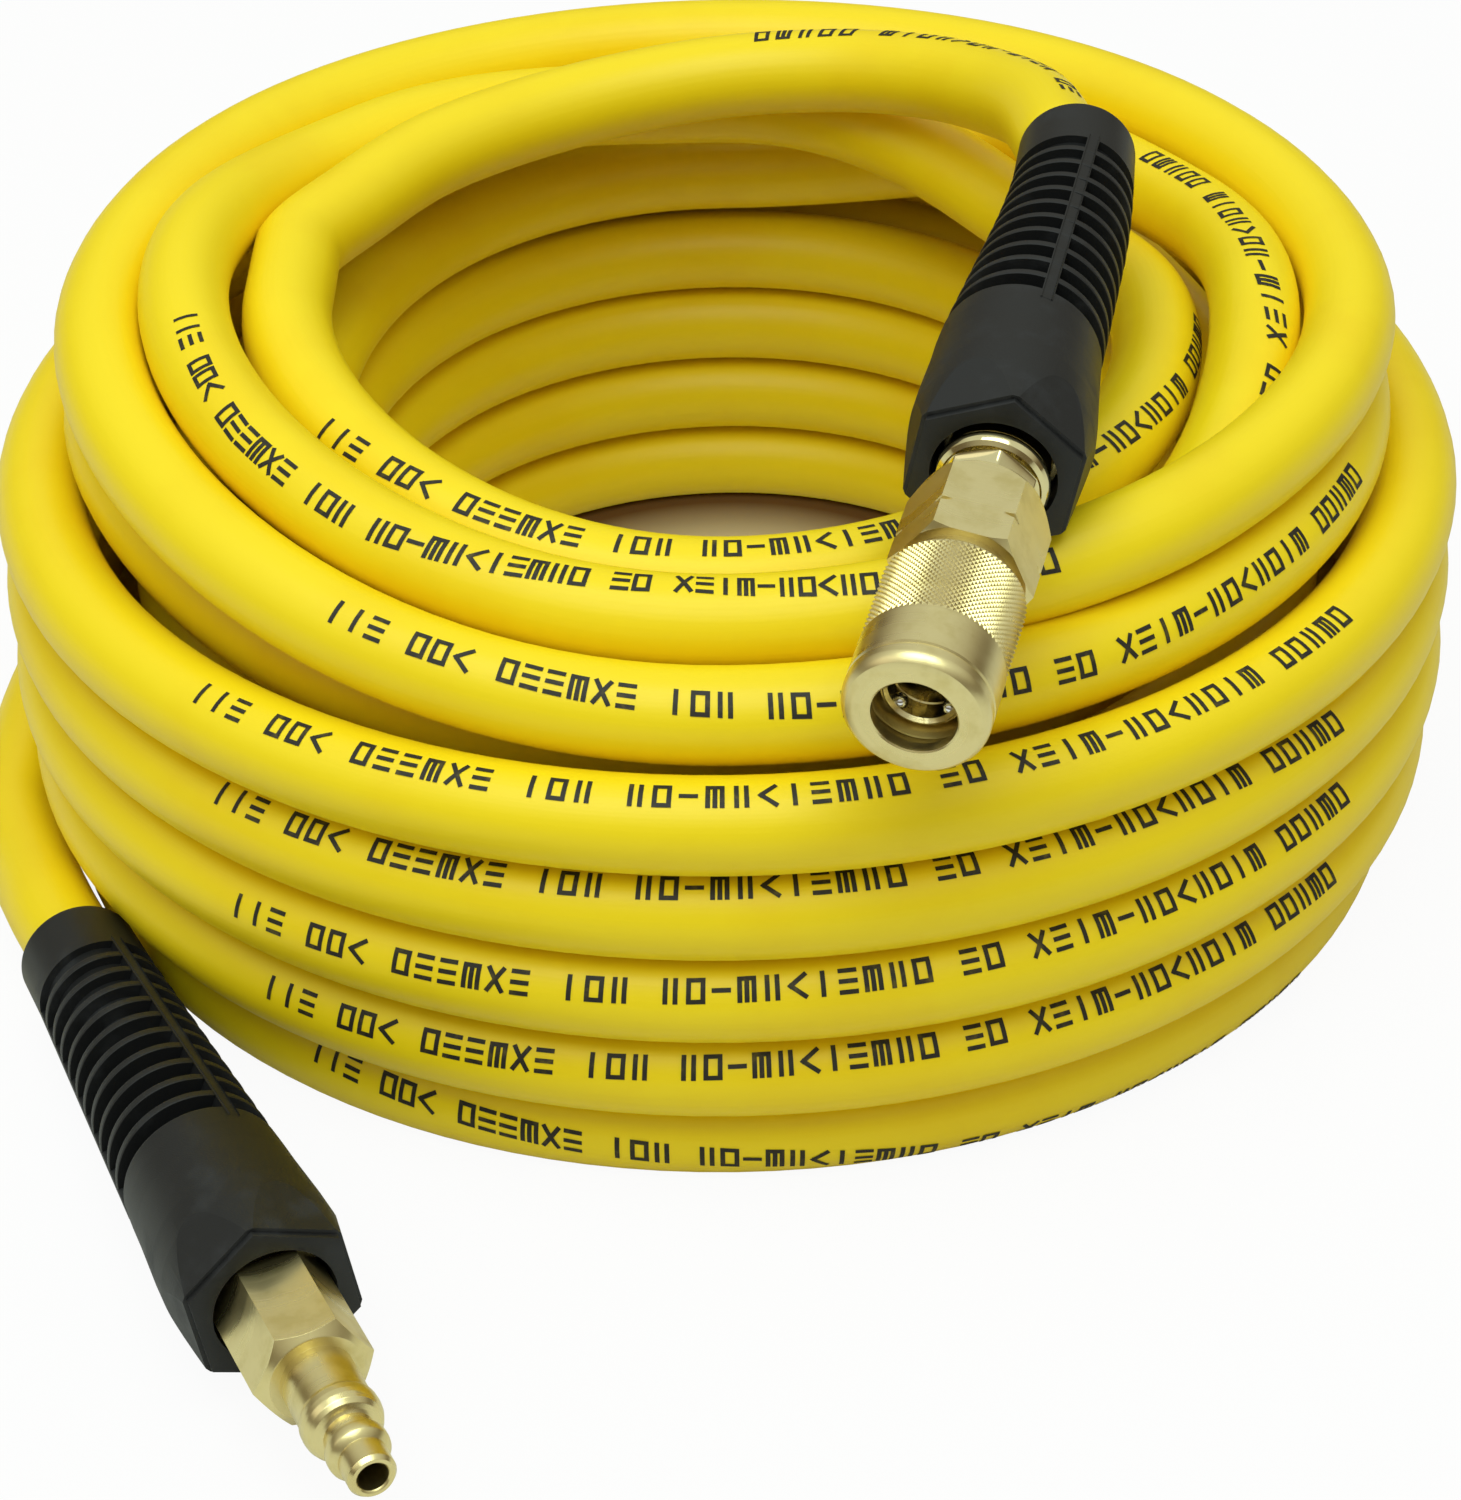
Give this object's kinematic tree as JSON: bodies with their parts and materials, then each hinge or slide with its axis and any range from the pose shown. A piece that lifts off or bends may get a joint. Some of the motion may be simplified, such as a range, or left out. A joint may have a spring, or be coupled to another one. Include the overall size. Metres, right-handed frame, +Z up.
{
  "type": "coiled air hose with quick-connect fittings",
  "caption": "Coiled compressed-air hose wound in a tall round coil, with a quick-connect plug at one end and a sliding-sleeve coupler at the other, each behind a ribbed bend restrictor.",
  "frame": {"origin": "middle of the bounding box in X and Y, on the floor that the coil lies on", "axes": "+Z up along the coil's axis; -Y towards the side where the two fittings lie; +X to the right seen from that side"},
  "size_m": [0.277, 0.385, 0.1387],
  "materials": {
    "hose_yellow": "smooth satin-gloss thermoplastic hose",
    "boot_black": "matte moulded, lightly scuffed",
    "satin_brass": "pale satin brass with fine turning lines",
    "bright_brass": "bright turned and polished",
    "ball_steel": "polished steel balls",
    "spring_steel": "drawn wire",
    "seal_rubber": "smooth sealing ring"
  },
  "bodies": {
    "hose": {"hose_coil": "hose_yellow", "hose_plug_tail": "hose_yellow", "hose_coupler_tail": "hose_yellow", "hose_plug_end": "hose_yellow", "hose_coupler_end": "hose_yellow", "plug_boot": "boot_black", "coupler_boot": "boot_black", "plug_ferrule": "satin_brass", "coupler_ferrule": "satin_brass", "plug_stem": "satin_brass", "coupler_stem": "bright_brass", "plug": "satin_brass", "coupler_adapter": "satin_brass", "coupler_body": "satin_brass", "sleeve_spring": "spring_steel", "nose_seal": "seal_rubber", "valve_spring": "spring_steel", "valve_guide": "spring_steel"},
    "sleeve": {"coupler_sleeve": "satin_brass"},
    "ball_1": {"ball_1": "ball_steel"},
    "ball_2": {"ball_2": "ball_steel"},
    "ball_3": {"ball_3": "ball_steel"},
    "ball_4": {"ball_4": "ball_steel"},
    "valve": {"valve_poppet": "satin_brass", "valve_seal": "seal_rubber"}
  },
  "joints": [
    {"name": "sleeve_slide", "type": "slide", "parent": "hose", "child": "sleeve", "axis": [0.2577, 0.9551, 0.1461], "range_m": [0, 0.0028], "stiffness_N_per_m": 1500, "springref_m": -0.004, "deforming": ["sleeve_spring"]},
    {"name": "valve_slide", "type": "slide", "parent": "hose", "child": "valve", "axis": [0.2577, 0.9551, 0.1461], "range_m": [0, 0.003], "stiffness_N_per_m": 600, "springref_m": -0.003, "deforming": ["valve_spring"]},
    {"name": "ball_1_out", "type": "slide", "parent": "hose", "child": "ball_1", "axis": [0.7096, -0.0845, -0.6995], "range_m": [0, 0.00112]},
    {"name": "ball_2_out", "type": "slide", "parent": "hose", "child": "ball_2", "axis": [0.6558, -0.2839, 0.6995], "range_m": [0, 0.00112]},
    {"name": "ball_3_out", "type": "slide", "parent": "hose", "child": "ball_3", "axis": [-0.7096, 0.0845, 0.6995], "range_m": [0, 0.00112]},
    {"name": "ball_4_out", "type": "slide", "parent": "hose", "child": "ball_4", "axis": [-0.6558, 0.2839, -0.6995], "range_m": [0, 0.00112]}
  ],
  "couplings": [
    {"joint": "ball_1_out", "follows": "sleeve_slide", "ratio": 0.39286},
    {"joint": "ball_2_out", "follows": "sleeve_slide", "ratio": 0.39286},
    {"joint": "ball_3_out", "follows": "sleeve_slide", "ratio": 0.39286},
    {"joint": "ball_4_out", "follows": "sleeve_slide", "ratio": 0.39286}
  ]
}
